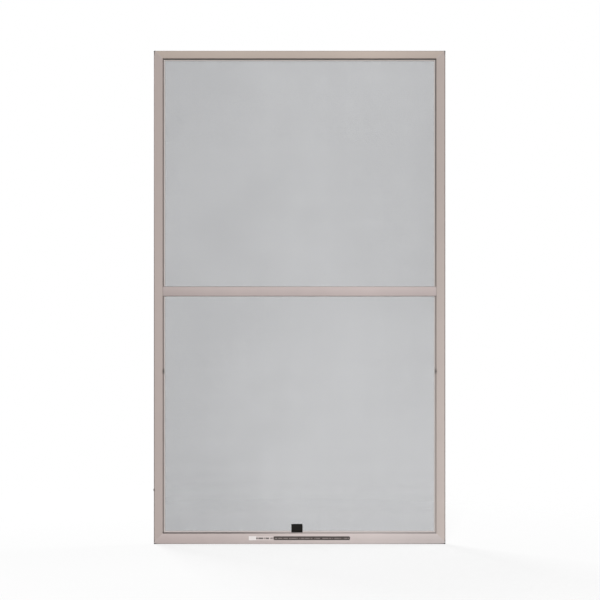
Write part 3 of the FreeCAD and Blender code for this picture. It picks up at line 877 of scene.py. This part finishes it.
def makeLabelInk(name, look):
    finish = newFinish(name + "_print")
    x, y, z = finish.axes()
    half = look["rowHeight"] / 2
    middle = (label["bottom"] + label["top"]) / 2 - label["rowDrop"]
    row = abs(z - middle).step(half + label["rowSoft"], half - label["rowSoft"])
    dashes = finish.noise(look["dash"], 1.0, label["dashShape"])
    dashes = dashes.step(look["dashFrom"], look["dashFrom"] + label["dashSoft"])
    marked = x.step(look["blankEnd"], look["blankEnd"] + label["blankSoft"])
    speck = finish.noise(label["speck"], 2.0)
    dark = tint(look["ground"], label["speckTint"])
    colour = finish.mix(marked, look["blank"], look["ground"])
    colour = finish.mix(row * dashes * marked * label["dashShows"], colour, look["mark"])
    colour = finish.mix(speck.step(*label["speckRange"]) * label["speckShows"], colour, dark)
    finish.surface(
        Base_Color=colour,
        Roughness=label["roughness"] + (speck - 0.5) * label["speckRough"],
        Normal=finish.bump(speck, label["speckDepth"]),
        Specular_IOR_Level=label["gloss"],
    )
    return finish.owner


def makeLabel():
    for name, look in labelFields.items():
        low, high = look["across"]
        bottom, top = label["bottom"] + look["inset"], label["top"] - look["inset"]
        middle = ((low + high) / 2, faceY - label["film"] / 2, (bottom + top) / 2)
        bm = bmesh.new()
        bmesh.ops.create_cube(bm, size=1)
        bmesh.ops.scale(bm, verts=bm.verts, vec=(high - low, label["film"], top - bottom))
        bmesh.ops.translate(bm, verts=bm.verts, vec=middle)
        through = [edge for edge in bm.edges if span(edge, 1) > label["film"] / 2]
        roundOff(bm, through, look["corner"] * (label["top"] - label["bottom"]), label["cornerSteps"])
        newPiece("label_" + name + "_field", bm, makeLabelInk(name, look))
    print("label")


# Rivets: a low nylon head with a pin in its middle, on the sloped wall of each side bar
rivet = {
    "height": 419.5 * mm,
    "fromInner": 4.2 * mm,             # the middle of the sloped wall
    "slopeWide": 2.4 * mm,
    "slopeDeep": 4.8 * mm,
    "profile": (                       # radius and height in mm, from the pin's top to the underside
        (0, 0.95), (0.55, 0.95), (0.65, 0.78), (0.85, 0.78), (0.97, 1.0),
        (1.5, 0.88), (2.0, 0.52), (2.25, 0.12), (2.25, -0.02), (0, -0.02),
    ),
    "steps": 28,
    "smooth": 40,
    "ringDark": 0.3,                       # darker on the bar round the head
    "ringReach": (9 * mm, 3 * mm),
    "ringWidth": (8.5 * mm, 5 * mm),
}


def makeRivets():
    for name, side, edge in (("left_rivet", 1, openLow), ("right_rivet", -1, openHigh)):
        bm = bmesh.new()
        trackLine(bm, [Vector((wide * mm, 0, high * mm)) for wide, high in rivet["profile"]])
        bmesh.ops.spin(
            bm, geom=bm.verts[:] + bm.edges[:], cent=(0, 0, 0), axis=(0, 0, 1), angle=2 * math.pi,
            steps=rivet["steps"], use_merge=True, use_duplicate=False,
        )
        bmesh.ops.remove_doubles(bm, verts=bm.verts, dist=0.1 * tiny)
        bmesh.ops.recalc_face_normals(bm, faces=bm.faces)
        outward = Vector((side * rivet["slopeDeep"], -rivet["slopeWide"], 0))
        lean = Vector((0, 0, 1)).rotation_difference(outward).to_matrix()
        place = (edge - side * rivet["fromInner"], faceY + rivet["slopeDeep"] / 2, rivet["height"])
        bmesh.ops.rotate(bm, verts=bm.verts, cent=(0, 0, 0), matrix=lean)
        bmesh.ops.translate(bm, verts=bm.verts, vec=place)
        piece = newPiece(name, bm, makeMoulding(name + "_nylon", mouldings["key"]))
        smooth(piece, rivet["smooth"])
    print("rivets")


def dressFrame():
    # paint and plastic on the pieces that keep their own shape
    materials = {name: makePaint(name) for name in bars}
    materials["edge_button"] = makeMoulding("grey_nylon", mouldings["button"])
    nylon = makeMoulding("dark_nylon", mouldings["key"])
    for name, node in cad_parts.items():
        node.data.materials.clear()
        node.data.materials.append(materials.get(name, nylon))
    print("frame", len(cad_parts), "nodes dressed")


studio = {
    "distance": 4.0,
    "viewWidth": 1.4568,                 # metres across the picture at the frame's face
    "aimX": 0.92 * mm,
    "aimZ": 592.7 * mm,
    "sensor": 36.0,
    "ambient": 0.12,                     # the white room's light on surfaces
    "floorShine": 0.8,                   # share of the floor's look that is plain white, free of shadow
    "floorColour": (0.3, 0.3, 0.3),      # for the light that it sends back to the frame
    "floorSeen": (1.0, 1.0, 1.0),        # for the eye, so that the shadow lies on a white floor
    "floorFade": (0.5, 1.5),             # from the middle outwards, so that no edge of it shows
    "floorSides": 96,
    "floorGap": 0.1 * mm,
    "lampAim": (0.0, 0.0, 0.6),
}

lamps = {
    "front_key": {"at": (-0.5, -9.0, 2.7), "size": (2.0, 1.4), "watts": 740},
    "rear_fill": {"at": (-2.6, 4.2, 3.0), "size": (2.4, 1.6), "watts": 290},
    "side_fill": {"at": (4.2, 1.6, 1.4), "size": (1.6, 1.6), "watts": 90},
}


def seenDirectly(finish):
    # 1 for what the camera sees itself, in a gloss or through glass, 0 for light that falls on surfaces
    camera, gloss, through = [
        finish.node("ShaderNodeLightPath", output=name)
        for name in ("Is Camera Ray", "Is Glossy Ray", "Is Transmission Ray")
    ]
    return camera.larger(gloss).larger(through)


def makeFloor():
    finish = newFinish("pale_floor", "ShaderNodeBsdfDiffuse")
    seen = seenDirectly(finish)
    away = finish.node("ShaderNodeVectorMath", {"operation": "LENGTH"}, {0: finish.point()}, "Value")
    finish.surface(Color=finish.mix(seen, studio["floorColour"], studio["floorSeen"]))
    look = Value(finish, finish.shader.outputs[0])
    for kind, amount in (
        ("ShaderNodeEmission", seen * studio["floorShine"]),
        ("ShaderNodeBsdfTransparent", away.step(*studio["floorFade"])),
    ):
        look = finish.node("ShaderNodeMixShader", {}, {0: amount, 1: look, 2: finish.node(kind)})
    finish.show(look)
    bm = bmesh.new()
    bmesh.ops.create_circle(bm, cap_ends=True, radius=studio["floorFade"][1], segments=studio["floorSides"])
    bmesh.ops.translate(bm, verts=bm.verts, vec=(0, 0, cadLow.z - studio["floorGap"]))
    newObject("floor", bm, finish.owner)


def makeWorld():
    # white for the eye, and a little even light
    world = Finish(bpy.data.worlds.new("pale_room"), "ShaderNodeBackground", "ShaderNodeOutputWorld")
    strength = seenDirectly(world) * (1 - studio["ambient"]) + studio["ambient"]
    world.surface(Color=(1, 1, 1), Strength=strength)
    bpy.context.scene.world = world.owner


def makeLamp(name, look):
    data = bpy.data.lights.new(name, "AREA")
    data.shape = "RECTANGLE"
    data.size, data.size_y = look["size"]
    data.energy = look["watts"]
    lamp = bpy.data.objects.new(name, data)
    lamp.location = look["at"]
    way = Vector(studio["lampAim"]) - lamp.location
    lamp.rotation_euler = way.to_track_quat("-Z", "Y").to_euler()
    bpy.context.scene.collection.objects.link(lamp)


def makeCamera():
    data = bpy.data.cameras.new("camera")
    data.sensor_width = studio["sensor"]
    data.lens = studio["sensor"] * studio["distance"] / studio["viewWidth"]
    camera = bpy.data.objects.new("camera", data)
    camera.location = (studio["aimX"], faceY - studio["distance"], studio["aimZ"])
    camera.rotation_euler = (math.pi / 2, 0, 0)
    bpy.context.scene.collection.objects.link(camera)
    bpy.context.scene.camera = camera


makeCamera()
bpy.context.scene.view_settings.view_transform = "Standard"
makeWorld()
makeFloor()
for lampName, lampLook in lamps.items():
    makeLamp(lampName, lampLook)
print("studio")

dressFrame()
makeCloth()
makeCord()
makeTab()
makeLabel()
makeRivets()
